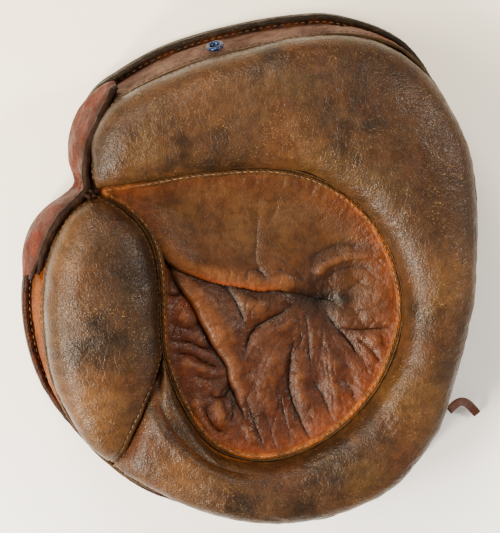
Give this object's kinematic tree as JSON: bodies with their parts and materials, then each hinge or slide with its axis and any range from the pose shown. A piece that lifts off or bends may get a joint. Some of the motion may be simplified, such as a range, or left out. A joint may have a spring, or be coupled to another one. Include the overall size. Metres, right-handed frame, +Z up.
{
  "type": "baseball catcher's mitt",
  "caption": "Old pillow-type leather catcher's mitt for the left hand, with a stuffed rim, a creased ball pocket, a folding thumb pad and a buckled wrist strap.",
  "frame": {"origin": "middle of the outline, on the surface that the mitt lies on", "axes": "+Z up out of the palm, +Y towards the fingertips, thumb on -X"},
  "size_m": [0.2658, 0.289, 0.0713],
  "materials": {
    "face_leather": "worn, scuffed along the seams",
    "pocket_leather": "worn, creased, slightly oily",
    "gusset_leather": "dull, faded",
    "thumb_gusset_leather": "dull, unfaded tan",
    "welt_leather": "worn",
    "binding_leather": "dark, rubbed",
    "back_leather": "satin",
    "web_leather": "satin, reddish",
    "lining": "coarse canvas",
    "stuffing": "felt",
    "rawhide": "dry",
    "eyelet_metal": "dark japanned, chipped",
    "buckle_metal": "dull, tarnished"
  },
  "bodies": {
    "palm": {"back_binding": "binding_leather", "back_panel": "back_leather", "rim_gusset": "gusset_leather", "face_welt": "welt_leather", "palm_liner": "lining", "face_rim_leather": "face_leather", "rim_padding": "stuffing", "pocket_leather": "pocket_leather", "pocket_welt": "welt_leather", "pocket_felt": "stuffing", "index_stall": "lining", "middle_stall": "lining", "ring_stall": "lining", "little_stall": "lining", "web_strap_upper": "web_leather", "gusset_eyelet": "eyelet_metal", "wrist_strap": "back_leather", "buckle_chape": "back_leather", "strap_keeper": "back_leather", "strap_rivets": "buckle_metal", "lace_tail": "rawhide"},
    "thumb": {"thumb_binding": "binding_leather", "thumb_back_panel": "back_leather", "thumb_gusset": "thumb_gusset_leather", "thumb_welt": "welt_leather", "thumb_liner": "lining", "thumb_face_leather": "face_leather", "thumb_padding": "stuffing", "thumb_stall": "lining", "web_strap_lower": "web_leather"},
    "buckle": {"buckle_frame": "buckle_metal"},
    "prong": {"buckle_prong": "buckle_metal"}
  },
  "joints": [
    {"name": "thumb_fold", "type": "hinge", "parent": "palm", "child": "thumb", "pos_m": [-0.054, -0.043, 0.024], "axis": [0.3841, 0.9233, 0], "range_deg": [0, 20], "stiffness_Nm_per_rad": 0.6},
    {"name": "buckle_swivel", "type": "hinge", "parent": "palm", "child": "buckle", "pos_m": [-0.004, -0.092, 0.007], "axis": [0, 1, 0], "range_deg": [0, 6]},
    {"name": "prong_swivel", "type": "hinge", "parent": "buckle", "child": "prong", "pos_m": [-0.004, -0.092, 0.007], "axis": [0, 1, 0], "range_deg": [0, 25]}
  ]
}
